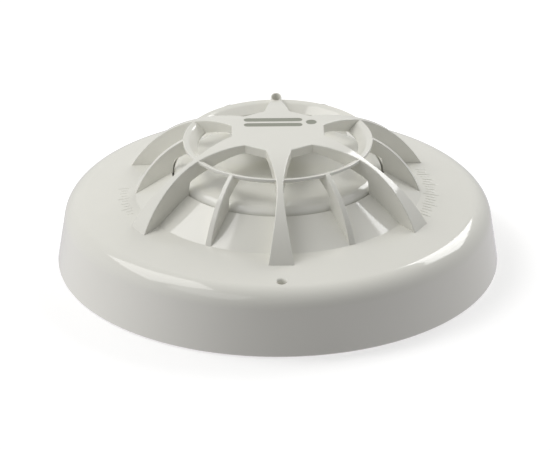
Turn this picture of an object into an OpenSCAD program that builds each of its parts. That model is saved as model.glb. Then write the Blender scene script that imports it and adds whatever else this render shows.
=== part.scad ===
// Wireless heat detector: a twist-off sensing head on a flat mounting base.
// Origin at the centre of the base's back face, +Z out of the mounting surface, millimetres.

/* [Cover] */
// Diameter of the cover at its lower edge
cover_d = 140; // [138:1:146]
// Gap between the cover's lower edge and the mounting surface
edge_gap = 0.5; // [0.3:0.1:1]
// Wall thickness of the cover
cover_wall = 2.2; // [1.8:0.1:2.6]
// Inward lean of the skirt, in degrees
skirt_draft = 8.3; // [6:0.1:9]
// Radius of the rounded shoulder
shoulder_r = 7.2; // [5:0.1:9]
// Slope of the flat outer band, in degrees
band_slope = 8.8; // [7:0.1:10]
// Radius where the outer band turns into the cone
break_r = 45.2; // [44:0.1:46]
// Height of that turn above the cover's lower edge
break_z = 23.6; // [23:0.1:24]
// Radius of the opening at the top of the cone
open_r = 33.5; // [33.3:0.1:34]
// Height of the opening's edge above the cover's lower edge
open_z = 31.1; // [30.5:0.1:31.5]

/* [Guard] */
// Height of the star's flat top above the cover's lower edge
star_top = 45; // [44.5:0.1:46]
// Thickness of the star's hub
star_t = 3; // [2.5:0.1:3]
// Radius of the corners between the hub and its arms
notch_r = 15.1; // [14.5:0.1:15.5]
// Half the angle that an arm takes at those corners, in degrees
arm_half_angle = 15.54; // [14:0.1:17]
// Outer radius of the ring that joins the ribs
ring_r = 30.04; // [29.8:0.02:30.2]
// Inner radius of the ring
ring_in_r = 25.4; // [25.2:0.1:26]
// Thickness of a long rib at the ring
rib_t = 2.1; // [1.8:0.1:2.4]
// Width of a long rib's foot
foot_w = 8.4; // [6:0.1:8.6]
// Radius that the long ribs reach
long_foot_r = 51.7; // [51:0.1:52.5]
// Thickness of a short rib at the ring
short_rib_t = 1.6; // [1.4:0.1:2]
// Thickness of a short rib at its foot
short_foot_t = 2.2; // [1.6:0.1:2.6]

/* [Sensor] */
// Radius of the dome's flat spherical top
dome_r = 240; // [220:5:260]
// Height of the dome's top above the cover's lower edge
dome_top = 35; // [34.8:0.1:35.4]
// Radius of the round shoulder between the dome's top and its wall
dome_shoulder_r = 3; // [2.8:0.1:3.4]
// Outer radius of the dome's cylindrical wall
dome_wall_r = 33; // [32.6:0.1:33]
// Wall thickness of the dome
dome_t = 1.5; // [1.2:0.1:1.8]
// Radius of the space kept open between the dome and the ribs
void_r = 65; // [64.8:0.1:65.2]

/* [Base and twist lock] */
// Radius of the mounting base
base_r = 63; // [60:0.5:64]
// Thickness of the mounting base's plate
base_t = 2.4; // [2:0.1:2.6]
// Distance between the two fixing holes
fixing_spacing = 60; // [50:1:70]
// Diameter of a fixing hole
fixing_d = 4.5; // [4:0.1:5]
// Angle that the head turns through to unlock, in degrees
twist = 15; // [12:1:15]
// Travel of the tamper plunger over that turn
tamper_travel = 1.2; // [0.8:0.1:1.4]

/* [Cells] */
// Diameter of a lithium cell
cell_d = 16.8; // [16:0.1:17]
// Length of a lithium cell with its raised end
cell_l = 34.5; // [34:0.1:34.6]

/* [Hidden] */
$fn = 96;
fine_fn = 192;
eps = 0.01;
// Longer than any part, for cuts that go right through
far = 200;

white_abs = [0.86, 0.86, 0.83];
shade_abs = [0.80, 0.80, 0.78];
mark_grey = [0.57, 0.58, 0.53];
board_green = [0.10, 0.36, 0.20];
metal = [0.75, 0.75, 0.74];
black = [0.10, 0.10, 0.11];

// Ribs
rib_count = 6;
rib_step = 360 / rib_count;
rib_start = 30;
rib_thin_r = 32;
short_foot_r = 45.2;
ring_top_z = 42;
ring_drop = 2.6;
// Where the ring's top turns from its gentle outer slope to its steeper inner slope
ring_turn_r = 28.2;
ring_turn_drop = 0.5;
ring_t = 1.1;
mark_depth = 0.4;
mark_t = 0.35;

// The long ribs' outer edge is one arc that leaves the flat top tangentially
crest_c = [14.2, star_top - 42.4];
crest_r = 42.4;
// The short ribs' outer edge is a tighter arc from the ring to the foot
short_c = [13.87, 13.23];
short_arc_r = 33;

// The dome's top and the ribs' inner edge are spheres about points below the cover's edge
dome_c = dome_top - dome_r;
void_c = -20.9;
rib_in_r = dome_wall_r + 0.2;

// Shoulder arc, tangent to the skirt and to the outer band
cover_r = cover_d / 2;
cone_slope = atan((open_z - break_z) / (break_r - open_r));
corner_z = (break_z - (cover_r - break_r) * tan(band_slope)) / (1 - tan(band_slope) * tan(skirt_draft));
corner_r = cover_r - corner_z * tan(skirt_draft);
half_turn = (90 - band_slope - skirt_draft) / 2;
shoulder_dir = skirt_draft + half_turn;
shoulder_c = [corner_r - shoulder_r / cos(half_turn) * cos(shoulder_dir),
              corner_z - shoulder_r / cos(half_turn) * sin(shoulder_dir)];

// Heights in the head, from the mounting surface
plate_z = 9;
plate_t = 2;
plate_top = plate_z + plate_t;
plate_r = 65.5;
collar_r = [48.4, 50.4];
base_ring_r = [43, 45];
base_ring_top = 7.6;
lug_count = 3;
lug_step = 360 / lug_count;
lug_angle = 24;
base_lug_z = [5, 7];
head_lug_z = [2.9, 4.6];
lug_gap = 0.05;
chassis_screw_r = 57;
chassis_screw_z = 17;
screw_r = 1.2;
lock_p = [0, -60];
lock_hole_r = 1.5;
lock_thread_r = 1.3;
lock_thread_top = 15;

// Battery well in the middle of the chassis
well_in = [18.6, 18];
well_t = 1.6;
well_roof = 20.6;
well_top = well_roof + well_t;
cell_z = 11.9;
cell_y = 8.9;
contact_x = 18.2;

// Main board
board_z = 23;
board_t = 1.6;
board_top = board_z + board_t;
board_r = 30.2;
board_posts = [[13, 13], [-13, 13], [0, -15]];
board_screw_r = 0.9;
rod_x = 25;
rod_r = 1.5;
rod_gap = 0.05;
led_y = 28;
pipe_r = 1.2;
pipe_gap = 0.1;
boss_r = 1.72;
radio_p = [12, -8];

function polar(r, a) = [r * cos(a), r * sin(a)];

// Half the width of a long rib: narrows from the hub to the ring, then flares to its foot
function rib_half(x) = x < rib_thin_r
    ? rib_t / 2 + (notch_r * sin(arm_half_angle) - rib_t / 2)
        * pow((rib_thin_r - x) / (rib_thin_r - notch_r * cos(arm_half_angle)), 1.3)
    : rib_t / 2 + (foot_w - rib_t) / 2 * pow((x - rib_thin_r) / (long_foot_r - rib_thin_r), 2);

function shoulder_point(r, a) = shoulder_c + polar(r, a);

// Region under the cover's surface, t inside it
module cover_region(t) {
    shift = (t / cos(cone_slope) - t / cos(band_slope)) / (tan(cone_slope) - tan(band_slope));
    foot = cover_r - t / cos(skirt_draft);
    break_p = [break_r - shift, break_z - t / cos(band_slope) + shift * tan(band_slope)];
    top_z = open_z - t / cos(cone_slope);
    polygon([[0, -5 * sign(t)], [foot + 5 * sign(t) * tan(skirt_draft), -5 * sign(t)],
             shoulder_point(shoulder_r - t, skirt_draft),
             shoulder_point(shoulder_r - t, 90 - band_slope), break_p, [open_r, top_z], [0, top_z]]);
    translate(shoulder_c) circle(r = shoulder_r - t);
}

module ring_part(r, z) {
    rotate_extrude() translate([r[0], z[0]]) square([r[1] - r[0], z[1] - z[0]]);
}

module sector(r, z, a) {
    rotate([0, 0, a[0]]) rotate_extrude(angle = a[1] - a[0])
        translate([r[0], z[0]]) square([r[1] - r[0], z[1] - z[0]]);
}

module post(p, r, z) {
    translate([p[0], p[1], z[0]]) cylinder(r = r, h = z[1] - z[0]);
}

module box(p, size) {
    translate([p[0] - size[0] / 2, p[1] - size[1] / 2, p[2]]) cube(size);
}

module each_rib(start) {
    for (i = [0 : rib_count - 1]) rotate([0, 0, start + i * rib_step]) children();
}

// ---------------------------------------------------------------- base

module mounting_base() {
    lip_t = 1.6;
    lip_top = base_t + 1.2;
    lug_r = [base_ring_r[1] - 0.5, collar_r[0] - lug_gap];
    stop_angle = [lug_angle / 2 - 3.5, lug_angle / 2 - 0.5];
    ramp_w = 6;
    ramp_run = rod_x * sin(twist);
    ramp_top = 5.7;
    ramp_foot = ramp_top - tamper_travel;
    color(shade_abs) difference() {
        union() {
            cylinder(r = base_r, h = base_t);
            ring_part(base_ring_r, [base_t - eps, base_ring_top]);
            ring_part([base_r - lip_t, base_r], [base_t - eps, lip_top]);
            for (i = [0 : lug_count - 1]) rotate([0, 0, i * lug_step]) {
                sector(lug_r, base_lug_z, [0, lug_angle]);
                sector(lug_r, [base_t - eps, base_lug_z[1]], stop_angle);
            }
            // Ramp that holds the tamper plunger up while the head is locked
            translate([-rod_x + ramp_w / 2, 0, 0]) rotate([90, 0, -90]) linear_extrude(ramp_w)
                polygon([[-4, base_t - eps], [-4, ramp_top], [0, ramp_top], [ramp_run, ramp_foot],
                         [ramp_run + 2, ramp_foot], [ramp_run + 2, base_t - eps]]);
        }
        for (s = [-1, 1]) translate([s * fixing_spacing / 2, 0, -1])
            cylinder(d = fixing_d, h = base_t + 2);
        post(lock_p, 1.7, [-1, base_t + 1]);
    }
}

// ---------------------------------------------------------------- head, outside

module outer_cover() {
    post_top = 20.5;
    lock_post_top = 19.6;
    color(white_abs) difference() {
        union() {
            translate([0, 0, edge_gap]) rotate_extrude() difference() {
                cover_region(0);
                cover_region(cover_wall);
                square([open_r, far]);
            }
            // Collar that presses on the gasket round the dome
            translate([0, 0, edge_gap]) ring_part([34, 36], [26.6, 28.5]);
            each_screw_post() cylinder(r = 3.5, h = post_top - plate_top);
            post(lock_p, 4, [plate_top, lock_post_top]);
        }
        each_screw_post() translate([0, 0, -1])
            cylinder(r = screw_r, h = chassis_screw_z - plate_top + 1.5);
        post(lock_p, lock_hole_r, [lock_thread_top - 1, 30]);
        post(lock_p, lock_thread_r, [plate_top - 1, lock_thread_top]);
    }
}

module each_screw_post() {
    for (a = [90, 210, 330]) translate(concat(polar(chassis_screw_r, a), plate_top)) children();
}

// Solid that everything in the guard stands on
module cover_solid() {
    rotate_extrude() cover_region(0);
}

// Space kept open under the ribs
module rib_void() {
    rotate_extrude() intersection() {
        translate([0, void_c]) circle(r = void_r, $fn = fine_fn);
        square([rib_in_r, far]);
    }
}

module crest_region() {
    square([crest_c[0], star_top]);
    translate(crest_c) circle(r = crest_r, $fn = fine_fn);
}

module rib_plan() {
    root_x = notch_r * cos(arm_half_angle);
    stops = [root_x, 20, 26, rib_thin_r, 38, 43, 47.5, long_foot_r];
    polygon(concat([for (x = stops) [x, -rib_half(x)]],
                   [for (i = [len(stops) - 1 : -1 : 0]) [stops[i], rib_half(stops[i])]]));
}

module long_ribs() {
    color(white_abs) difference() {
        union() {
            translate([0, 0, edge_gap]) each_rib(rib_start) long_rib_blank();
            led_boss();
        }
        post([0, led_y], pipe_r + pipe_gap, [20, 60]);
    }
}

module long_rib_blank() {
    difference() {
        intersection() {
            linear_extrude(far) rib_plan();
            rotate_extrude() intersection() {
                crest_region();
                square([far, far]);
            }
        }
        rib_void();
        cover_solid();
    }
}

// Short tube on the arm at the back, round the light pipe's open end, cut off at a slant
module led_boss() {
    boss_z = [39.5, 44.9];
    mouth_tilt = 24;
    difference() {
        post([0, led_y], boss_r, boss_z);
        translate([0, led_y + boss_r, boss_z[1]]) rotate([mouth_tilt, 0, 0]) box([0, -2, 0], [6, 8, 3]);
    }
}

module star_hub() {
    corners = [for (i = [0 : rib_count - 1], s = [-1, 1])
        polar(notch_r, rib_start + i * rib_step + s * arm_half_angle)];
    color(white_abs) translate([0, 0, edge_gap + star_top - star_t]) difference() {
        linear_extrude(star_t) polygon(corners);
        translate([0, 0, star_t - mark_depth]) linear_extrude(1) marking();
    }
}

module marking() {
    for (y = [4.1, 7.8]) translate([-1.4, y]) bar(18.6, 2.5);
    translate([10.7, 5.95]) circle(r = 1.7);
}

module bar(l, w) {
    square([l - w, w], center = true);
    for (s = [-1, 1]) translate([s * (l - w) / 2, 0]) circle(d = w);
}

module marking_inlay() {
    color(mark_grey) translate([0, 0, edge_gap + star_top - mark_depth])
        linear_extrude(mark_t) marking();
}

// The ring's top in section, from the inner edge to the outer edge, lowered by t
function ring_line(t) = [[ring_in_r, ring_top_z - ring_drop - t],
                         [ring_turn_r, ring_top_z - ring_turn_drop - t], [ring_r, ring_top_z - t]];

module ring_region() {
    polygon(concat(ring_line(ring_t), [[ring_r, ring_top_z], [ring_turn_r, ring_top_z - ring_turn_drop],
                                       [ring_in_r, ring_top_z - ring_drop]]));
}

module guard_ring() {
    color(white_abs) translate([0, 0, edge_gap]) difference() {
        rotate_extrude() ring_region();
        each_rib(rib_start) linear_extrude(far) rib_plan();
        post([0, led_y], boss_r, [0, far]);
    }
}

module short_ribs() {
    plan = [[ring_in_r, -short_rib_t / 2], [short_foot_r, -short_foot_t / 2],
            [short_foot_r, short_foot_t / 2], [ring_in_r, short_rib_t / 2]];
    color(white_abs) translate([0, 0, edge_gap]) each_rib(0) difference() {
        intersection() {
            linear_extrude(far) polygon(plan);
            rotate_extrude() {
                intersection() {
                    translate(short_c) circle(r = short_arc_r, $fn = fine_fn);
                    translate([ring_r, 0]) square([far, far]);
                }
                polygon(concat(ring_line(ring_t), [[ring_r + eps, ring_top_z - ring_t],
                                                   [ring_r + eps, 20], [ring_in_r, 20]]));
            }
        }
        rib_void();
        cover_solid();
    }
}

// ---------------------------------------------------------------- head, inside

module sensor_dome() {
    color(white_abs) difference() {
        rotate_extrude() {
            difference() {
                dome_region(0);
                dome_region(dome_t);
            }
            translate([dome_wall_r - eps, 24.9]) square([36.4 - dome_wall_r, 1.4]);
        }
        post([0, 0], 3, [30, 50]);
        post([0, led_y], pipe_r + pipe_gap, [28, 50]);
    }
}

// Region under the dome's surface, t inside it: flat sphere, round shoulder, straight wall
module dome_region(t) {
    shoulder_x = dome_wall_r - dome_shoulder_r;
    reach = dome_r - dome_shoulder_r;
    shoulder_y = edge_gap + dome_c + sqrt(pow(reach, 2) - pow(shoulder_x, 2));
    // Where the sphere meets the shoulder
    tangent = [shoulder_x, shoulder_y - edge_gap - dome_c] * (dome_r - t) / reach;
    base_y = plate_top - t;
    intersection() {
        translate([0, edge_gap + dome_c]) circle(r = dome_r - t, $fn = fine_fn);
        translate([0, base_y]) square([tangent[0], far]);
    }
    translate([shoulder_x, shoulder_y]) circle(r = dome_shoulder_r - t);
    translate([0, base_y]) square([dome_wall_r - t, shoulder_y - base_y]);
}

module dome_gasket() {
    color(black) ring_part([33.2, 36.4], [26.3, edge_gap + 26.6]);
}

module rear_chassis() {
    color(shade_abs) difference() {
        union() {
            translate([0, 0, plate_z]) cylinder(r = plate_r, h = plate_t);
            ring_part(collar_r, [head_lug_z[0], plate_z + eps]);
            for (i = [0 : lug_count - 1]) rotate([0, 0, i * lug_step])
                sector([base_ring_r[1] + lug_gap, collar_r[0] + 0.5], head_lug_z,
                       [lug_angle / 2, lug_angle * 1.5]);
            box([0, 0, plate_z], [2 * (well_in[0] + well_t), 2 * (well_in[1] + well_t),
                                  well_top - plate_z]);
            for (p = board_posts) post(p, 2.5, [well_top - eps, board_z]);
            post([-rod_x, 0], 3, [plate_top - eps, 16]);
        }
        box([0, 0, plate_z - 1], [2 * well_in[0], 2 * well_in[1], well_roof - plate_z + 1]);
        for (p = board_posts) post(p, board_screw_r, [well_roof + 0.4, board_z + 1]);
        for (s = [-1, 1]) {
            post([s * rod_x, 0], rod_r + rod_gap, [plate_z - 1, 17]);
            for (y = [-cell_y, cell_y]) box([s * (contact_x + 0.2), y, well_roof - 1], [0.4, 3, 4]);
        }
        each_screw_post() translate([0, 0, -plate_t - 1]) cylinder(r = screw_r, h = plate_t + 2);
        post(lock_p, lock_thread_r, [plate_z - 1, plate_top + 1]);
    }
}

module chassis_screws() {
    head_h = 1.8;
    color(metal) each_screw_post() {
        translate([0, 0, -plate_t]) cylinder(r = screw_r, h = chassis_screw_z - plate_z);
        difference() {
            translate([0, 0, -plate_t - head_h]) cylinder(r = 2.6, h = head_h);
            // Cross recess
            for (a = [0, 90]) rotate([0, 0, a]) box([0, 0, -plate_t - head_h - 1], [2.8, 0.6, 1.9]);
        }
    }
}

module locking_screw() {
    color(metal) difference() {
        post(lock_p, lock_thread_r, [4.5, 15]);
        translate(concat(lock_p, 13.5)) cylinder(r = 0.75, h = 3, $fn = 6);
    }
}

module battery_cells() {
    nub = 1;
    color(black) for (s = [-1, 1]) translate([0, s * cell_y, cell_z]) rotate([0, s * 90, 0]) {
        translate([0, 0, -cell_l / 2]) cylinder(d = cell_d, h = cell_l - nub);
        translate([0, 0, cell_l / 2 - nub - eps]) cylinder(r = 3, h = nub + eps);
    }
}

module battery_contacts() {
    color(metal) for (s = [-1, 1], e = [-1, 1]) translate([0, s * cell_y, 0]) {
        box([e * (contact_x + 0.2), 0, cell_z - 5], [0.4, 9, 10]);
        box([e * (contact_x + 0.2), 0, cell_z + 4], [0.4, 3, board_z - cell_z - 4]);
        translate([e * cell_l / 2, 0, cell_z]) rotate([0, e * 90, 0])
            cylinder(r1 = s * e > 0 ? 1.8 : 2.4, r2 = s * e > 0 ? 1.8 : 3.6,
                     h = contact_x - cell_l / 2 + eps);
    }
}

module main_board() {
    color(board_green) difference() {
        translate([0, 0, board_z]) cylinder(r = board_r, h = board_t);
        for (p = board_posts) post(p, board_screw_r, [board_z - 1, board_top + 1]);
    }
}

module board_screws() {
    color(metal) for (p = board_posts) {
        post(p, board_screw_r, [well_roof + 0.4, board_top]);
        difference() {
            post(p, 1.9, [board_top, board_top + 1.4]);
            for (s = [[2, 0.5, 1], [0.5, 2, 1]]) box([p[0], p[1], board_top + 0.7], s);
        }
    }
}

module controller_chip() {
    chip = [-9, -9];
    color(black) {
        box([chip[0], chip[1], board_top + 0.1], [7, 7, 1]);
        for (a = [0 : 90 : 270], i = [-3 : 3]) translate([chip[0], chip[1], board_top])
            rotate([0, 0, a]) box([4, i * 0.8, 0], [1.4, 0.35, 0.5]);
    }
}

module radio_module() {
    color(board_green) box([radio_p[0], radio_p[1], board_top], [14, 11, 0.8]);
}

module radio_shield() {
    color(metal) difference() {
        box([radio_p[0], radio_p[1], board_top + 0.8], [12, 9, 2.2]);
        box([radio_p[0], radio_p[1], board_top + 0.7], [11.4, 8.4, 2]);
    }
}

module antenna_loop() {
    loop_r = [23.6, 24.4];
    loop_z = 28.5;
    color(metal) {
        ring_part(loop_r, [loop_z, loop_z + 0.8]);
        for (a = [25, -25]) post(polar(24, a), 0.35, [board_top, loop_z + 0.4]);
    }
}

module reed_switch() {
    reed_l = 12;
    reed_y = -22;
    reed_z = 26;
    lead_r = 0.3;
    lead_l = 2;
    color([0.55, 0.65, 0.60]) translate([-reed_l / 2, reed_y, reed_z]) rotate([0, 90, 0])
        cylinder(r = 1.1, h = reed_l);
    color(metal) for (x = [-1, 1] * (reed_l + lead_l) / 2) {
        translate([x - lead_l / 2, reed_y, reed_z]) rotate([0, 90, 0]) cylinder(r = lead_r, h = lead_l);
        post([x, reed_y], lead_r, [board_top, reed_z]);
    }
}

module storage_capacitor() {
    color([0.16, 0.20, 0.42]) post([-15, 2], 3.2, [board_top, board_top + 7]);
}

module status_led() {
    color([0.9, 0.2, 0.15]) {
        post([0, led_y], 1.5, [board_top, board_top + 1.6]);
        translate([0, led_y, board_top + 1.6]) sphere(r = 1.2);
    }
}

module light_pipe() {
    color([0.8, 0.85, 0.9]) post([0, led_y], pipe_r, [board_top + 3.1, 41.6]);
}

module thermistor() {
    bead_z = 40.2;
    lead_x = 0.6;
    color(black) translate([0, 0, bead_z]) sphere(r = 1.2);
    color(metal) for (x = [-lead_x, lead_x]) post([x, 0], 0.25, [board_top, bead_z - 0.6]);
}

module thermistor_sleeve() {
    sleeve_top = 38.8;
    color(white_abs) difference() {
        post([0, 0], 2.6, [board_top, sleeve_top]);
        post([0, 0], 1.6, [board_top - 1, sleeve_top + 1]);
    }
}

module tact_switch(x) {
    color(black) box([x, 0, board_z - 1.5], [6, 6, 1.5]);
}

module log_on_switch() {
    tact_switch(rod_x);
}

module tamper_switch() {
    tact_switch(-rod_x);
}

module log_on_button() {
    cap_z = [7.2, 8.2];
    rod_top = 20.7;
    collar_z = plate_top + 0.3;
    color([0.75, 0.25, 0.20]) {
        post([rod_x, 0], 3, cap_z);
        post([rod_x, 0], rod_r, [cap_z[0] + 0.2, rod_top]);
        // Collar that keeps the button in the chassis
        post([rod_x, 0], 2.5, [collar_z, collar_z + 1]);
    }
}

module tamper_plunger() {
    tip_z = 6;
    rod_top = 21.2;
    color(shade_abs) {
        translate([-rod_x, 0, tip_z + rod_r]) sphere(r = rod_r);
        post([-rod_x, 0], rod_r, [tip_z + rod_r, rod_top]);
    }
}

mounting_base();
rear_chassis();
outer_cover();
star_hub();
guard_ring();
long_ribs();
short_ribs();
marking_inlay();
sensor_dome();
dome_gasket();
chassis_screws();
locking_screw();
battery_cells();
battery_contacts();
main_board();
board_screws();
controller_chip();
radio_module();
radio_shield();
antenna_loop();
reed_switch();
storage_capacitor();
status_led();
light_pipe();
thermistor();
thermistor_sleeve();
log_on_switch();
log_on_button();
tamper_switch();
tamper_plunger();
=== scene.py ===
import math

import bmesh
import bpy
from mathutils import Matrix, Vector


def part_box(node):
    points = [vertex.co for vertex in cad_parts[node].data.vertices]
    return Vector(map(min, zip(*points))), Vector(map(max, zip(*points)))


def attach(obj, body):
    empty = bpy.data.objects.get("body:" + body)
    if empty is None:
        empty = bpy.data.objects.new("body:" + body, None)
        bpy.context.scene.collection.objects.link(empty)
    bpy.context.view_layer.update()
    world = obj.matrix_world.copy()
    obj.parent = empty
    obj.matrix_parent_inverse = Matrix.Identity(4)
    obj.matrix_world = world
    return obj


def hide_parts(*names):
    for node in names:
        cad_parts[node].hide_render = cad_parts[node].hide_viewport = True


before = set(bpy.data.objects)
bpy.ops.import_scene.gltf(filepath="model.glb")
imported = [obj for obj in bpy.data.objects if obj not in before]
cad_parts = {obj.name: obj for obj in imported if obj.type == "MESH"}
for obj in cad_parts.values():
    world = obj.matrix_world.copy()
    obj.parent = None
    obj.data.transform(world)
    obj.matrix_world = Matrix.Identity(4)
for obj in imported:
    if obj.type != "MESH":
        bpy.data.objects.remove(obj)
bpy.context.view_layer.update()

MM = 0.001
LATHE_STEPS = 288
SHARP = math.radians(38)


# ---------------------------------------------------------------- measures

def node_box(name):
    """Lowest and highest corner of a CAD node, in millimetres."""
    low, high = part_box(name)
    return low / MM, high / MM


cover_low, cover_high = node_box("outer_cover")
EDGE_Z = cover_low.z
COVER_R = cover_high.x
OPEN_Z = cover_high.z
STAR_Z = node_box("star_hub")[1].z
RING_R = node_box("guard_ring")[1].x
RING_Z = node_box("guard_ring")[1].z
PLATE_TOP = 11.0

# Cover: draft of the skirt, slope of the flat band, and the corners of its outline
DRAFT, BAND_SLOPE = 8.3, 8.8
BREAK_R, BREAK_Z = 45.2, EDGE_Z + 23.6
OPEN_R = 33.5
WALL = 2.2
SHOULDER = 7.2
FOOT_ROUND, FOOT_ROUND_IN = 0.45, 0.3
BREAK_ROUND, BREAK_ROUND_IN = 1.0, 0.6
OPEN_ROUND = 0.2
CONE_SLOPE = math.degrees(math.atan2(OPEN_Z - BREAK_Z, BREAK_R - OPEN_R))

# Guard: hub, arms and ribs
ARMS = 6
STAR_T = 3.0
NOTCH_R, NOTCH_ANGLE = 15.1, 15.54
ROOT_X = NOTCH_R * math.cos(math.radians(NOTCH_ANGLE))
ROOT_H = NOTCH_R * math.sin(math.radians(NOTCH_ANGLE))
RIB_HALF, FOOT_HALF = 1.05, 4.2
THIN_X, FOOT_X = 32.0, 51.7
CREST_X, CREST_R = 14.2, 42.4
CREST_Z = STAR_Z - CREST_R
SHORT_X, SHORT_Z, SHORT_R = 13.87, EDGE_Z + 13.23, 33.0
SHORT_FOOT = 45.2
# A short rib lies inside the ring's thickness up to the first, and is clear of the ring from the second
SHORT_RING_X, SHORT_FREE_X = 29.75, 30.1
SHORT_HALF, SHORT_FOOT_HALF = 0.8, 1.1
# Least height of a rib, the rounding of its edges, and how far it stands in the cover
RIB_LOW, SHORT_LOW = 0.6, 0.5
CREST_ROUND, UNDER_ROUND = 0.38, 0.25
SINK = 0.5
# Ring: gentle slope outside RING_TURN, steeper inside it
RING_IN, RING_T, RING_DROP = 25.4, 1.1, 2.6
RING_TURN, RING_TURN_DROP = 28.2, 0.5
RING_ROUND = 0.3
# Sphere that the ribs' inner edges follow, as far as VOID_X, with a round turn over the last VOID_TURN
VOID_C, VOID_R, VOID_X, VOID_TURN = EDGE_Z - 20.9, 65.0, 33.2, 0.45

# Dome: a nearly flat top, a round shoulder, a straight wall with a flange, and a port in the middle
DOME_R, DOME_WALL_R, DOME_T = 240.0, 33.0, 1.5
DOME_C = EDGE_Z + 35.0 - DOME_R
DOME_SHOULDER_R = 3.0
FLANGE_R, FLANGE_LOW, FLANGE_TOP = 36.4, 24.9, 26.3
PORT_R = 3.0

PIPE_LOW, PIPE_HIGH = node_box("light_pipe")
LED_Y = (PIPE_LOW.y + PIPE_HIGH.y) / 2
BORE_R = (PIPE_HIGH.x - PIPE_LOW.x) / 2 + 0.1
# Tube round the light pipe's end, with its mouth cut on a slant
BOSS_R, BOSS_LOW, BOSS_Z, MOUTH_TILT = 1.72, 39.5, STAR_Z - 0.6, 24.0
LOCK_LOW, LOCK_HIGH = node_box("locking_screw")
LOCK_Y = (LOCK_LOW.y + LOCK_HIGH.y) / 2
LOCK_HOLE_R = 1.5

# Marks on the hub: two bars (x, y, length, width) and a dot (x, y, radius)
MARK_DEPTH, MARK_GAP = 0.4, 0.02
BARS = [(-1.4, 4.1, 18.6, 2.5), (-1.4, 7.8, 18.6, 2.5)]
DOT = (10.7, 5.95, 1.7)
INLAY_Z = STAR_Z - 0.05


def cover_z(r):
    """Height of the cover's outer surface on the cone and the band."""
    if r <= OPEN_R:
        return OPEN_Z
    if r <= BREAK_R:
        return OPEN_Z - (r - OPEN_R) * math.tan(math.radians(CONE_SLOPE))
    return BREAK_Z - (r - BREAK_R) * math.tan(math.radians(BAND_SLOPE))


def crest_z(r):
    """Height of the long ribs' outer edge."""
    if r <= CREST_X:
        return STAR_Z
    return CREST_Z + math.sqrt(CREST_R ** 2 - (r - CREST_X) ** 2)


def void_z(r):
    """Height of the sphere that the ribs' inner edges follow."""
    return VOID_C + math.sqrt(VOID_R ** 2 - r ** 2)


def rib_half(x):
    """Half the width of a long rib at the distance x along its axis."""
    if x < THIN_X:
        return RIB_HALF + (ROOT_H - RIB_HALF) * ((THIN_X - x) / (THIN_X - ROOT_X)) ** 1.3
    return RIB_HALF + (FOOT_HALF - RIB_HALF) * ((x - THIN_X) / (FOOT_X - THIN_X)) ** 2


# ---------------------------------------------------------------- mesh tools

def rounded(corners, step=9.0):
    """Closed outline whose corners (x, y, radius) are rounded with arcs of the given step in degrees."""
    out = []
    n = len(corners)
    for i, (x, y, r) in enumerate(corners):
        p = Vector((x, y))
        if r <= 0:
            out.append(p)
            continue
        u = (Vector(corners[i - 1][:2]) - p).normalized()
        v = (Vector(corners[(i + 1) % n][:2]) - p).normalized()
        half = u.angle(v) / 2
        reach = r / math.tan(half)
        centre = p + (u + v).normalized() * (r / math.sin(half))
        first, last = p + u * reach - centre, p + v * reach - centre
        turn = first.angle_signed(last)
        steps = max(2, round(abs(math.degrees(turn)) / step))
        for k in range(steps + 1):
            a = -turn * k / steps
            c, s = math.cos(a), math.sin(a)
            out.append(centre + Vector((first.x * c - first.y * s, first.x * s + first.y * c)))
    return [(p.x, p.y) for p in out]


def spaced(first, last, step):
    """Values from first to last, both included."""
    return [first + step * k for k in range(round((last - first) / step) + 1)]


def lathe(bm, outline, steps=LATHE_STEPS, centre=(0, 0)):
    """Turns a closed outline of (r, z) about a vertical axis."""
    rings = []
    for i in range(steps):
        a = math.tau * i / steps
        rings.append([bm.verts.new((centre[0] + r * math.cos(a), centre[1] + r * math.sin(a), z))
                      for r, z in outline])
    n = len(outline)
    for i in range(steps):
        here, there = rings[i], rings[(i + 1) % steps]
        for j in range(n):
            k = (j + 1) % n
            if outline[j][0] or outline[k][0]:
                bm.faces.new((here[j], here[k], there[k], there[j]))
    if any(r == 0 for r, _ in outline):
        bmesh.ops.remove_doubles(bm, verts=[v for ring in rings for v in ring], dist=1e-5)


def prism(bm, outline, z0, z1):
    """Upright solid on a closed plan outline."""
    low = [bm.verts.new((x, y, z0)) for x, y in outline]
    high = [bm.verts.new((x, y, z1)) for x, y in outline]
    n = len(outline)
    for i in range(n):
        j = (i + 1) % n
        bm.faces.new((low[i], low[j], high[j], high[i]))
    bm.faces.new(low)
    bm.faces.new(high)


def loft(bm, sections):
    """Closed solid through a row of closed sections with the same number of points."""
    rows = [[bm.verts.new(p) for p in section] for section in sections]
    n = len(rows[0])
    for a, b in zip(rows, rows[1:]):
        for j in range(n):
            k = (j + 1) % n
            bm.faces.new((a[j], a[k], b[k], b[j]))
    bm.faces.new(rows[0])
    bm.faces.new(rows[-1])


def turned(points, degrees):
    """Points (x, y, z) turned about the vertical axis."""
    c, s = math.cos(math.radians(degrees)), math.sin(math.radians(degrees))
    return [(x * c - y * s, x * s + y * c, z) for x, y, z in points]


def mark_sharp(bm):
    """Smooth shading across every edge that isn't sharp."""
    for e in bm.edges:
        e.smooth = len(e.link_faces) == 2 and e.calc_face_angle(0) < SHARP


def even_normals(ob):
    """Keeps flat faces flat beside rounded edges."""
    ob.modifiers.new("even_normals", "WEIGHTED_NORMAL").keep_sharp = True


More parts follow.
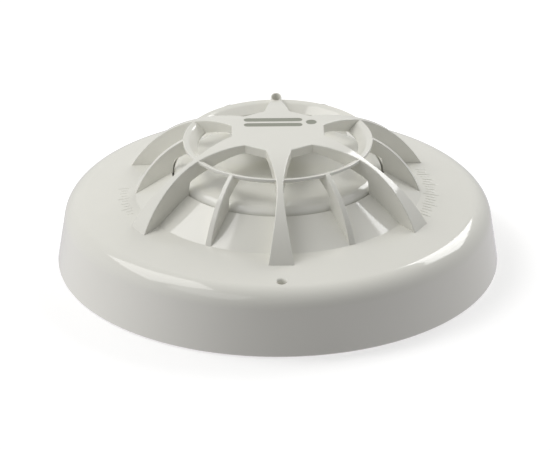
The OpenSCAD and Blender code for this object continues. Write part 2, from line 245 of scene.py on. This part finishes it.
def make(name, bm, material):
    """Object from a bmesh in millimetres, smooth shaded with its sharp edges marked."""
    bmesh.ops.recalc_face_normals(bm, faces=bm.faces)
    if bm.calc_volume(signed=True) < 0:
        bmesh.ops.reverse_faces(bm, faces=bm.faces)
    bmesh.ops.scale(bm, vec=(MM, MM, MM), verts=bm.verts)
    for f in bm.faces:
        f.smooth = True
    mark_sharp(bm)
    mesh = bpy.data.meshes.new(name)
    bm.to_mesh(mesh)
    bm.free()
    ob = bpy.data.objects.new(name, mesh)
    bpy.context.scene.collection.objects.link(ob)
    mesh.materials.append(material)
    even_normals(ob)
    return ob


def cut(ob, bm):
    """Takes the shape in the bmesh out of ob, for good."""
    cutter = make("cutter", bm, ob.data.materials[0])
    cutter.modifiers.clear()
    ob.modifiers.clear()
    m = ob.modifiers.new("cut", "BOOLEAN")
    m.operation = "DIFFERENCE"
    m.solver = "EXACT"
    m.object = cutter
    bpy.context.view_layer.update()
    deps = bpy.context.evaluated_depsgraph_get()
    new = bpy.data.meshes.new_from_object(ob.evaluated_get(deps))
    ob.modifiers.clear()
    old = ob.data
    ob.data = new
    new.name = old.name
    bpy.data.meshes.remove(old)
    bpy.data.objects.remove(cutter)
    bm = bmesh.new()
    bm.from_mesh(ob.data)
    mark_sharp(bm)
    bm.to_mesh(ob.data)
    bm.free()
    even_normals(ob)


def place(ob, body, slot, *nodes):
    """Puts a piece on its body and hides the CAD nodes that it stands for. The slot is not used."""
    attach(ob, body)
    if nodes:
        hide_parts(*nodes)


def drill(ob, r, low):
    """Bore for the light pipe, from the height low up past the top."""
    bm = bmesh.new()
    lathe(bm, [(0, low), (r, low), (r, 60), (0, 60)], steps=48, centre=(0, LED_Y))
    cut(ob, bm)


# ---------------------------------------------------------------- materials

def new_material(name):
    """A material, its node tree and its shader."""
    m = bpy.data.materials.new(name)
    m.use_nodes = True
    nt = m.node_tree
    bsdf = nt.nodes["Principled BSDF"]
    return m, nt, bsdf


def noise(nt, coords, per_mm, detail, rough=0.5):
    """Cloudy pattern with so many clouds to the millimetre."""
    n = nt.nodes.new("ShaderNodeTexNoise")
    n.inputs["Scale"].default_value = per_mm / MM
    n.inputs["Detail"].default_value = detail
    n.inputs["Roughness"].default_value = rough
    nt.links.new(coords, n.inputs["Vector"])
    return n.outputs["Fac"]


def spread(nt, value, low, high):
    """Brings the middle of a noise pattern's range to the range from low to high."""
    m = nt.nodes.new("ShaderNodeMapRange")
    m.inputs["From Min"].default_value = 0.3
    m.inputs["From Max"].default_value = 0.7
    m.inputs["To Min"].default_value = low
    m.inputs["To Max"].default_value = high
    nt.links.new(value, m.inputs["Value"])
    return m.outputs["Result"]


def between(nt, factor, a, b):
    """Colour mixed from a to b."""
    m = nt.nodes.new("ShaderNodeMix")
    m.data_type = "RGBA"
    m.inputs["A"].default_value = (*a, 1)
    m.inputs["B"].default_value = (*b, 1)
    nt.links.new(factor, m.inputs["Factor"])
    return m.outputs["Result"]


def moulded(name, colour, rough=0.085, tone=0.012, grain=0.012, specular=0.8):
    """Moulded plastic: faint flow clouds in its tone, an uneven gloss and a very fine grain."""
    m, nt, bsdf = new_material(name)
    coords = nt.nodes.new("ShaderNodeTexCoord").outputs["Object"]
    clouds = noise(nt, coords, 0.045, 3.0)
    dark = tuple(c * (1 - tone) for c in colour)
    light = tuple(min(1.0, c * (1 + tone)) for c in colour)
    nt.links.new(between(nt, spread(nt, clouds, 0, 1), dark, light), bsdf.inputs["Base Color"])
    gloss = noise(nt, coords, 0.25, 5.0, 0.6)
    nt.links.new(spread(nt, gloss, rough * 0.85, rough * 1.2), bsdf.inputs["Roughness"])
    fine = noise(nt, coords, 2.6, 2.0)
    bump = nt.nodes.new("ShaderNodeBump")
    bump.inputs["Strength"].default_value = grain
    bump.inputs["Distance"].default_value = 0.05 * MM
    nt.links.new(fine, bump.inputs["Height"])
    nt.links.new(bump.outputs["Normal"], bsdf.inputs["Normal"])
    bsdf.inputs["Specular IOR Level"].default_value = specular
    return m


def metal(name, colour, rough=0.3, scratch=0.3):
    """Plated metal with fine scratches along one direction."""
    m, nt, bsdf = new_material(name)
    coords = nt.nodes.new("ShaderNodeTexCoord").outputs["Object"]
    stretch = nt.nodes.new("ShaderNodeMapping")
    stretch.inputs["Scale"].default_value = (1.0, 8.0, 1.0)
    nt.links.new(coords, stretch.inputs["Vector"])
    lines = noise(nt, stretch.outputs["Vector"], 1.2, 3.0)
    nt.links.new(between(nt, lines, tuple(c * 0.8 for c in colour), colour), bsdf.inputs["Base Color"])
    nt.links.new(spread(nt, lines, rough * 0.7, rough * 1.4), bsdf.inputs["Roughness"])
    bsdf.inputs["Metallic"].default_value = 1.0
    bump = nt.nodes.new("ShaderNodeBump")
    bump.inputs["Strength"].default_value = scratch
    bump.inputs["Distance"].default_value = 0.02 * MM
    nt.links.new(lines, bump.inputs["Height"])
    nt.links.new(bump.outputs["Normal"], bsdf.inputs["Normal"])
    return m


def clear(name, colour, share, rough):
    """Moulded finish that lets a share of the light through."""
    m = moulded(name, colour, rough)
    m.node_tree.nodes["Principled BSDF"].inputs["Transmission Weight"].default_value = share
    return m


cover_white = moulded("cover_white", (0.825, 0.818, 0.757))
# The dome's white is lighter than the cover's. Part of this is painted light that lifts the dome's shaded
# parts under the hub.
dome_white = moulded("dome_white", (0.86, 0.855, 0.80), rough=0.1)
base_white = moulded("base_white", (0.60, 0.595, 0.55), rough=0.38, grain=0.12)
mark_grey = moulded("mark_grey", (0.295, 0.305, 0.250), rough=0.4, grain=0.15)
rubber = moulded("rubber", (0.03, 0.03, 0.03), rough=0.65, grain=0.3, specular=0.3)
black_resin = moulded("black_resin", (0.02, 0.02, 0.022), rough=0.5, grain=0.2)
red_plastic = moulded("red_plastic", (0.42, 0.035, 0.03), rough=0.3)
blue_sleeve = moulded("blue_sleeve", (0.03, 0.06, 0.22), rough=0.25)
green_wrap = moulded("green_wrap", (0.05, 0.22, 0.12), rough=0.3)
board_green = moulded("board_green", (0.02, 0.14, 0.05), rough=0.35, tone=0.25, grain=0.2)
clear_acrylic = clear("clear_acrylic", (0.75, 0.80, 0.82), 0.85, rough=0.08)
glass_green = clear("glass_green", (0.45, 0.62, 0.55), 0.6, rough=0.1)
steel = metal("steel", (0.56, 0.56, 0.55))
nickel = metal("nickel", (0.66, 0.62, 0.54), rough=0.25)
tin = metal("tin", (0.62, 0.63, 0.64), rough=0.35)

NODE_FINISH = {
    "mounting_base": base_white, "rear_chassis": base_white, "dome_gasket": rubber,
    "chassis_screws": steel, "locking_screw": steel, "battery_cells": green_wrap,
    "battery_contacts": nickel, "main_board": board_green, "board_screws": steel,
    "controller_chip": black_resin, "radio_module": board_green, "radio_shield": tin,
    "antenna_loop": nickel, "reed_switch": glass_green, "storage_capacitor": blue_sleeve,
    "status_led": red_plastic, "light_pipe": clear_acrylic, "thermistor": black_resin,
    "thermistor_sleeve": dome_white, "log_on_switch": black_resin, "log_on_button": red_plastic,
    "tamper_switch": black_resin, "tamper_plunger": base_white,
}
for node_name, finish in NODE_FINISH.items():
    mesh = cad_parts[node_name].data
    mesh.materials.clear()
    mesh.materials.append(finish)


# ---------------------------------------------------------------- cover

def cover_outline():
    """The cover's wall: skirt, rounded shoulder, band and cone, and the same again inside it."""
    draft, band, cone = (math.tan(math.radians(a)) for a in (DRAFT, BAND_SLOPE, CONE_SLOPE))

    def corners(t):
        foot = COVER_R - t / math.cos(math.radians(DRAFT))
        flat = BREAK_Z - t / math.cos(math.radians(BAND_SLOPE))
        slant = OPEN_Z - t / math.cos(math.radians(CONE_SLOPE))
        z = (flat - EDGE_Z - (foot - BREAK_R) * band) / (1 - draft * band) + EDGE_Z
        shoulder = (foot - (z - EDGE_Z) * draft, z)
        r = BREAK_R + ((OPEN_R - BREAK_R) * cone + slant - flat) / (cone - band)
        return foot, shoulder, (r, flat - (r - BREAK_R) * band), slant

    foot, shoulder, turn, _ = corners(0)
    foot_in, shoulder_in, turn_in, slant_in = corners(WALL)
    return rounded([
        (foot, EDGE_Z, FOOT_ROUND), (*shoulder, SHOULDER), (*turn, BREAK_ROUND), (OPEN_R, OPEN_Z, OPEN_ROUND),
        (OPEN_R, slant_in, OPEN_ROUND), (*turn_in, BREAK_ROUND_IN), (*shoulder_in, SHOULDER - WALL),
        (foot_in, EDGE_Z, FOOT_ROUND_IN),
    ], step=5.0)


bm = bmesh.new()
lathe(bm, cover_outline())
cover = make("cover_shell", bm, cover_white)

# Hole for the locking screw, with a small rounded lip
bm = bmesh.new()
lip_z = cover_z(-LOCK_Y)
lathe(bm, [(0, lip_z - 8), (LOCK_HOLE_R, lip_z - 8), (LOCK_HOLE_R, lip_z - 0.45),
           (LOCK_HOLE_R + 0.08, lip_z - 0.2), (LOCK_HOLE_R + 0.25, lip_z + 0.05),
           (LOCK_HOLE_R + 0.6, lip_z + 0.4), (LOCK_HOLE_R + 0.6, lip_z + 3), (0, lip_z + 3)],
      steps=64, centre=(0, LOCK_Y))
cut(cover, bm)
place(cover, "head", "cover_plastic", "outer_cover")


def post(bm, bore, r, top, centre):
    """Round post with a bore, from the chassis plate up into the cover."""
    lathe(bm, rounded([(bore, PLATE_TOP, 0.2), (r, PLATE_TOP, 0.3), (r, top, 0), (bore, top, 0)]),
          steps=40, centre=centre)


# Posts for the chassis screws and the locking screw, and the collar that holds the gasket
SCREW_CIRCLE, SCREW_BORE, SCREW_POST_R, SCREW_POST_TOP = 57, 1.2, 3.5, 20.5
LOCK_POST_R, LOCK_POST_TOP = 4, 19.6
COLLAR_IN, COLLAR_OUT, COLLAR_LOW = 34, 36, 27.1
bm = bmesh.new()
for angle in (90, 210, 330):
    a = math.radians(angle)
    centre = (SCREW_CIRCLE * math.cos(a), SCREW_CIRCLE * math.sin(a))
    post(bm, SCREW_BORE, SCREW_POST_R, SCREW_POST_TOP, centre)
post(bm, LOCK_HOLE_R, LOCK_POST_R, LOCK_POST_TOP, (0, LOCK_Y))
lathe(bm, rounded([(COLLAR_IN, COLLAR_LOW, 0.2), (COLLAR_OUT, COLLAR_LOW, 0.2), (COLLAR_OUT, 28.2, 0),
                   (COLLAR_IN, 29, 0)]))
place(make("cover_posts", bm, cover_white), "head", "cover_plastic", "outer_cover")


# ---------------------------------------------------------------- guard

def under_z(x):
    """Height of a long rib's underside: flat hub, sphere, then down to the cover behind the opening."""
    if x <= VOID_X - VOID_TURN:
        return min(STAR_Z - STAR_T, void_z(x))
    if x < VOID_X:
        k = (VOID_X - x) / VOID_TURN
        low, high = OPEN_Z - SINK, void_z(VOID_X - VOID_TURN)
        return low + (high - low) * math.sqrt(max(0, 1 - (1 - k) ** 2))
    return min(cover_z(x) - SINK, crest_z(x) - RIB_LOW)


def slope_at(height, x):
    """Fall of an outer edge for each millimetre outwards."""
    step = 0.1
    return (height(x) - height(x + step)) / step


def edge_profile(z_low, z_high, slope):
    """Offsets and heights up a side wall, from the rounded underside to the rounded crest."""
    drop = min(CREST_ROUND * math.sqrt(1 + slope * slope), 0.45 * (z_high - z_low))
    rise = min(UNDER_ROUND, 0.2 * (z_high - z_low))
    out = []
    for k in range(4):
        a = math.radians(30 * k)
        out.append((UNDER_ROUND * (1 - math.sin(a)), z_low + rise * (1 - math.cos(a))))
    for k in range(5):
        a = math.radians(22.5 * k)
        out.append((CREST_ROUND * (1 - math.cos(a)), z_high - drop * (1 - math.sin(a))))
    return out


# Distances along a rib's axis at which its section is set
TURN_STATIONS = [VOID_X - back for back in (VOID_TURN, 0.3, 0.15, 0.05, 0)]
LONG_STATIONS = [ROOT_X, *spaced(16, 31, 1.5), *TURN_STATIONS, *spaced(34, 47.5, 1.5), 48.8, 50, 51,
                 FOOT_X, FOOT_X + 0.5]
SHORT_STATIONS = [*spaced(26.2, 29.2, 1), 29.74, 29.8, 30.6, 31.4, *TURN_STATIONS, *spaced(33.6, 42.6, 1),
                  43.4, 44.2, 44.8, 45.3, 45.7]


def star(bm):
    """Hub with six arms that run on as ribs down to the cover, as one closed solid."""
    stations = LONG_STATIONS
    columns = {}
    for arm in range(ARMS):
        angle = 30 + arm * 60
        for side in (-1, 1):
            for i, x in enumerate(stations):
                h = rib_half(min(x, FOOT_X))
                r = math.hypot(x, h)
                inward = Vector((0, -side))
                if i == 0:
                    # Mitre between the arm's side and the hub's edge
                    along = Vector((stations[1] - x, side * (rib_half(stations[1]) - h))).normalized()
                    wall = Vector((along.y, -along.x)) * side
                    a = math.radians(side * 30)
                    edge = Vector((-math.cos(a), -math.sin(a)))
                    inward = (wall + edge) / (1 + wall.dot(edge))
                column = []
                for offset, z in edge_profile(under_z(x), crest_z(r), slope_at(crest_z, r)):
                    p = (x + inward.x * offset, side * h + inward.y * offset, z)
                    column.append(bm.verts.new(turned([p], angle)[0]))
                columns[arm, side, i] = column

    def strip(a, b):
        for k in range(len(a) - 1):
            bm.faces.new((a[k], b[k], b[k + 1], a[k + 1]))

    last = len(stations) - 1
    for arm in range(ARMS):
        for side in (-1, 1):
            for i in range(last):
                strip(columns[arm, side, i], columns[arm, side, i + 1])
        for i in range(last):
            for k in (0, -1):
                bm.faces.new((columns[arm, -1, i][k], columns[arm, -1, i + 1][k],
                              columns[arm, 1, i + 1][k], columns[arm, 1, i][k]))
        strip(columns[arm, -1, last], columns[arm, 1, last])
        strip(columns[arm, 1, 0], columns[(arm + 1) % ARMS, -1, 0])
    for k in (0, -1):
        bm.faces.new([columns[arm, side, 0][k] for arm in range(ARMS) for side in (-1, 1)])


bm = bmesh.new()
star(bm)
guard = make("guard_star", bm, cover_white)
# A little wider than the tube's bore, so that the two walls don't coincide
drill(guard, BORE_R + 0.2, 30)


def pill(x, y, length, width, grow):
    """Outline of a bar with round ends."""
    r = width / 2 + grow
    out = []
    for end in (1, -1):
        for k in range(17):
            a = math.radians(-90 * end + 180 * k / 16)
            out.append((x + end * (length - width) / 2 + r * math.cos(a), y + r * math.sin(a)))
    return out


def disc(x, y, r, grow):
    """Outline of a dot."""
    angles = [math.tau * k / 40 for k in range(40)]
    return [(x + (r + grow) * math.cos(a), y + (r + grow) * math.sin(a)) for a in angles]


def marks(z_low, z_high, grow=0.0):
    """The two bars and the dot as upright solids."""
    bm = bmesh.new()
    for bar in BARS:
        prism(bm, pill(*bar, grow), z_low, z_high)
    prism(bm, disc(*DOT, grow), z_low, z_high)
    return bm


cut(guard, marks(STAR_Z - MARK_DEPTH, STAR_Z + 1))
place(guard, "head", "cover_plastic", "star_hub", "long_ribs")

inlay = make("mark_inlay", marks(STAR_Z - MARK_DEPTH + MARK_GAP, INLAY_Z, -MARK_GAP), mark_grey)
place(inlay, "head", "mark", "marking_inlay")


def pipe_boss(bm, steps=48):
    """Tube round the light pipe's end, with a rounded rim on a slant."""
    # Radius and height over the slanted plane of each edge round it, or None at its foot
    edges = [(BORE_R, None), (BORE_R, -0.12), (BORE_R + 0.08, 0), (BOSS_R - 0.12, 0),
             (BOSS_R - 0.03, -0.05), (BOSS_R, -0.14), (BOSS_R, None)]
    rings = []
    for r, lift in edges:
        ring = []
        for k in range(steps):
            a = math.tau * k / steps
            y = LED_Y + r * math.sin(a)
            mouth = BOSS_Z - (LED_Y + BOSS_R - y) * math.tan(math.radians(MOUTH_TILT))
            z = BOSS_LOW if lift is None else mouth + lift
            ring.append(bm.verts.new((r * math.cos(a), y, z)))
        rings.append(ring)
    for a, b in zip(rings, rings[1:] + rings[:1]):
        for k in range(steps):
            j = (k + 1) % steps
            bm.faces.new((a[k], a[j], b[j], b[k]))


bm = bmesh.new()
pipe_boss(bm)
place(make("pipe_boss", bm, cover_white), "head", "cover_plastic", "long_ribs")

# Ring that joins the ribs
bm = bmesh.new()
lathe(bm, rounded([(RING_IN, RING_Z - RING_DROP - RING_T, RING_ROUND),
                   (RING_TURN, RING_Z - RING_TURN_DROP - RING_T, 2.0),
                   (RING_R, RING_Z - RING_T, RING_ROUND), (RING_R, RING_Z, RING_ROUND),
                   (RING_TURN, RING_Z - RING_TURN_DROP, 2.5),
                   (RING_IN, RING_Z - RING_DROP, RING_ROUND)], step=6))
place(make("guard_band", bm, cover_white), "head", "cover_plastic", "guard_ring")


def ring_top(r):
    """Height of the ring's top surface."""
    if r > RING_TURN:
        return RING_Z - RING_TURN_DROP * (RING_R - r) / (RING_R - RING_TURN)
    return RING_Z - RING_TURN_DROP - (RING_DROP - RING_TURN_DROP) * (RING_TURN - r) / (RING_TURN - RING_IN)


def short_top(x):
    """Height of a short rib's outer edge, which starts inside the ring's thickness."""
    if x < SHORT_RING_X:
        return ring_top(x) - RING_T / 2
    x = max(x, RING_R)
    return SHORT_Z + math.sqrt(max(0.0, SHORT_R ** 2 - (x - SHORT_X) ** 2))


def short_under(x):
    """Height of a short rib's inner edge."""
    if x <= VOID_X - VOID_TURN:
        return void_z(x)
    if x < VOID_X:
        return under_z(x)
    return cover_z(x) - SINK


bm = bmesh.new()
for n in range(ARMS):
    sections = []
    for x in SHORT_STATIONS:
        h = SHORT_HALF + (x - RING_R) / (SHORT_FOOT - RING_R) * (SHORT_FOOT_HALF - SHORT_HALF)
        z_high, z_low = short_top(x), min(short_under(x), short_top(x) - SHORT_LOW)
        wall = edge_profile(z_low, z_high, max(0.0, slope_at(short_top, max(x, SHORT_FREE_X))))
        section = [(x, -h + o, z) for o, z in wall] + [(x, h - o, z) for o, z in reversed(wall)]
        sections.append(turned(section, n * 60))
    loft(bm, sections)
place(make("short_ribs_fine", bm, cover_white), "head", "cover_plastic", "short_ribs")


# ---------------------------------------------------------------- dome

def dome_outline():
    """The dome's wall: nearly flat top, round shoulder, straight side with a flange, and the same inside."""
    shoulder_x = DOME_WALL_R - DOME_SHOULDER_R
    reach = DOME_R - DOME_SHOULDER_R
    shoulder_z = DOME_C + math.sqrt(reach ** 2 - shoulder_x ** 2)
    lean = math.asin(shoulder_x / reach)
    start = math.asin(PORT_R / DOME_R)

    def skin(t):
        """Points along the top and the shoulder, at the depth t, from the port outwards."""
        top = [lean * k / 20 + start * (1 - k / 20) for k in range(21)]
        out = [((DOME_R - t) * math.sin(a), DOME_C + (DOME_R - t) * math.cos(a), 0) for a in top]
        turn = math.pi / 2 - lean
        for k in range(1, 13):
            a = lean + turn * k / 12
            out.append((shoulder_x + (DOME_SHOULDER_R - t) * math.sin(a),
                        shoulder_z + (DOME_SHOULDER_R - t) * math.cos(a), 0))
        return out

    outer, inner = skin(0), skin(DOME_T)[::-1]
    outer[0] = (*outer[0][:2], 0.3)
    inner[-1] = (*inner[-1][:2], 0.2)
    return rounded(outer + [(DOME_WALL_R, FLANGE_TOP, 0.3), (FLANGE_R, FLANGE_TOP, 0.2),
                            (FLANGE_R, FLANGE_LOW, 0.2), (DOME_WALL_R, FLANGE_LOW, 0),
                            (DOME_WALL_R, PLATE_TOP, 0),
                            (DOME_WALL_R - DOME_T, PLATE_TOP, 0)] + inner)


bm = bmesh.new()
lathe(bm, dome_outline())
dome = make("sensor_cap", bm, dome_white)
drill(dome, BORE_R, 20)
place(dome, "head", "dome_plastic", "sensor_dome")


# ---------------------------------------------------------------- ticks on the band

TICK_PITCH, TICK_HALF_W, TICK_SINK = 2.2, 0.3, 0.3


def ticks(bm, middle, half, r0, r1, height):
    """Row of short raised bars round the flat band, half degrees to each side of the middle."""
    steps = 6
    for i in range(int(2 * half / TICK_PITCH) + 1):
        # Every fourth bar is the longest
        inner, outer = (r0, r1) if i % 4 == 0 else (r0 + 0.7, r1 - 0.7 - (i % 2) * 0.6)
        sections = []
        for k in range(steps + 1):
            at_end = k in (0, steps)
            x = inner + (outer - inner) * k / steps
            z = cover_z(x)
            top = z + height * (0.4 if at_end else 1)
            w = TICK_HALF_W * (0.7 if at_end else 1)
            right_side = [(x, w * 0.6, top), (x, w, (z + top) / 2), (x, w, z - TICK_SINK)]
            left_side = [(x, -y, h) for x, y, h in reversed(right_side)]
            sections.append(turned(left_side + right_side, middle - half + i * TICK_PITCH))
        loft(bm, sections)


bm = bmesh.new()
ticks(bm, middle=0, half=20, r0=46.2, r1=51.2, height=0.16)
ticks(bm, middle=186, half=11, r0=47.0, r1=51.0, height=0.1)
place(make("band_ticks", bm, cover_white), "head", "cover_plastic")


# ---------------------------------------------------------------- floor, light and camera

FLOOR_HALF = 3.0
bm = bmesh.new()
corners = ((-1, -1), (1, -1), (1, 1), (-1, 1))
bm.faces.new([bm.verts.new((x * FLOOR_HALF, y * FLOOR_HALF, 0)) for x, y in corners])
floor_mesh = bpy.data.meshes.new("floor")
bm.to_mesh(floor_mesh)
bm.free()
floor = bpy.data.objects.new("floor", floor_mesh)
bpy.context.scene.collection.objects.link(floor)
floor_paper = moulded("floor_paper", (0.75, 0.75, 0.75), rough=0.8, tone=0.004, specular=0.0)
floor_shader = floor_paper.node_tree.nodes["Principled BSDF"]
floor_shader.inputs["Emission Color"].default_value = (1, 1, 1, 1)
floor_shader.inputs["Emission Strength"].default_value = 0.4
floor_mesh.materials.append(floor_paper)
floor.visible_diffuse = False
floor.visible_glossy = False


def towards(azimuth, elevation):
    """Direction out from the object, with both angles in degrees."""
    a, e = math.radians(azimuth), math.radians(elevation)
    return Vector((math.cos(e) * math.cos(a), math.cos(e) * math.sin(a), math.sin(e)))


LAMP_AIM = 0.02


def softbox(name, azimuth, elevation, distance, width, height, power, colour=(1, 1, 1)):
    """Flat lamp that faces the object."""
    data = bpy.data.lights.new(name, "AREA")
    data.shape = "RECTANGLE"
    data.size, data.size_y = width, height
    data.energy = power
    data.color = colour
    lamp = bpy.data.objects.new(name, data)
    direction = towards(azimuth, elevation)
    lamp.location = Vector((0, 0, LAMP_AIM)) + direction * distance
    lamp.rotation_euler = direction.to_track_quat("Z", "Y").to_euler()
    bpy.context.scene.collection.objects.link(lamp)
    return lamp


WARM = (1.0, 0.99, 0.97)
softbox("key", 170, 54, 1.2, 0.75, 0.73, 3.8, WARM)
# The lamp behind the key's cloth, which gives the shadows their edge
softbox("key_core", 170, 54, 1.2, 0.3, 0.3, 1.0, WARM).visible_glossy = False
softbox("right", 48, 38.5, 1.2, 0.69, 0.44, 3.9)
softbox("front_left", -135, 46, 1.3, 0.8, 0.6, 1.0)

world = bpy.data.worlds.new("studio")
world.use_nodes = True
bpy.context.scene.world = world
wt = world.node_tree
back = wt.nodes["Background"]
rays = wt.nodes.new("ShaderNodeTexCoord").outputs["Generated"]


def cosine(direction):
    """Cosine of the angle between a ray and a direction."""
    dot = wt.nodes.new("ShaderNodeVectorMath")
    dot.operation = "DOT_PRODUCT"
    dot.inputs[1].default_value = direction
    wt.links.new(rays, dot.inputs[0])
    return dot.outputs["Value"]


def lobe(direction, strength):
    """Soft light from one side of the room: the squared cosine to that side."""
    out = cosine(direction)
    for operation, value in (("MAXIMUM", 0.0), ("POWER", 2.0), ("MULTIPLY", strength)):
        node = wt.nodes.new("ShaderNodeMath")
        node.operation = operation
        node.inputs[1].default_value = value
        wt.links.new(out, node.inputs[0])
        out = node.outputs[0]
    return out


DOWN = (0, 0, -1)
LEFT, RIGHT, BACK, ABOVE, BELOW = 0.90, 0.60, 0.50, 0.46, 1.45
total = lobe((-1, 0, 0), LEFT)
for direction, strength in (((1, 0, 0), RIGHT), ((0, 1, 0), BACK), ((0, 0, 1), ABOVE), (DOWN, BELOW)):
    add = wt.nodes.new("ShaderNodeMath")
    add.operation = "ADD"
    wt.links.new(total, add.inputs[0])
    wt.links.new(lobe(direction, strength), add.inputs[1])
    total = add.outputs[0]
# The table's light from below is a touch pink
tint = between(wt, cosine(DOWN), (1.0, 1.0, 1.0), (1.0, 0.955, 1.04))
wt.links.new(tint, back.inputs["Color"])
wt.links.new(total, back.inputs["Strength"])

bpy.context.scene.view_settings.view_transform = "Standard"

# The camera looks down at 26 degrees from straight in front, a touch to the left
ELEVATION, AZIMUTH, DISTANCE, LENS = 25.89, -91.13, 2.1, 432.0
AIM_RIGHT, AIM_UP = -0.91, 12.19
camera_data = bpy.data.cameras.new("camera")
camera = bpy.data.objects.new("camera", camera_data)
direction = towards(AZIMUTH, ELEVATION)
right = towards(AZIMUTH + 90, 0)
aim = (right * AIM_RIGHT + Vector((0, 0, AIM_UP))) * MM
camera.location = aim + direction * DISTANCE
camera.rotation_euler = direction.to_track_quat("Z", "Y").to_euler()
camera_data.lens = LENS
camera_data.sensor_width = 36.0
camera_data.clip_end = 20.0
bpy.context.scene.collection.objects.link(camera)
bpy.context.scene.camera = camera
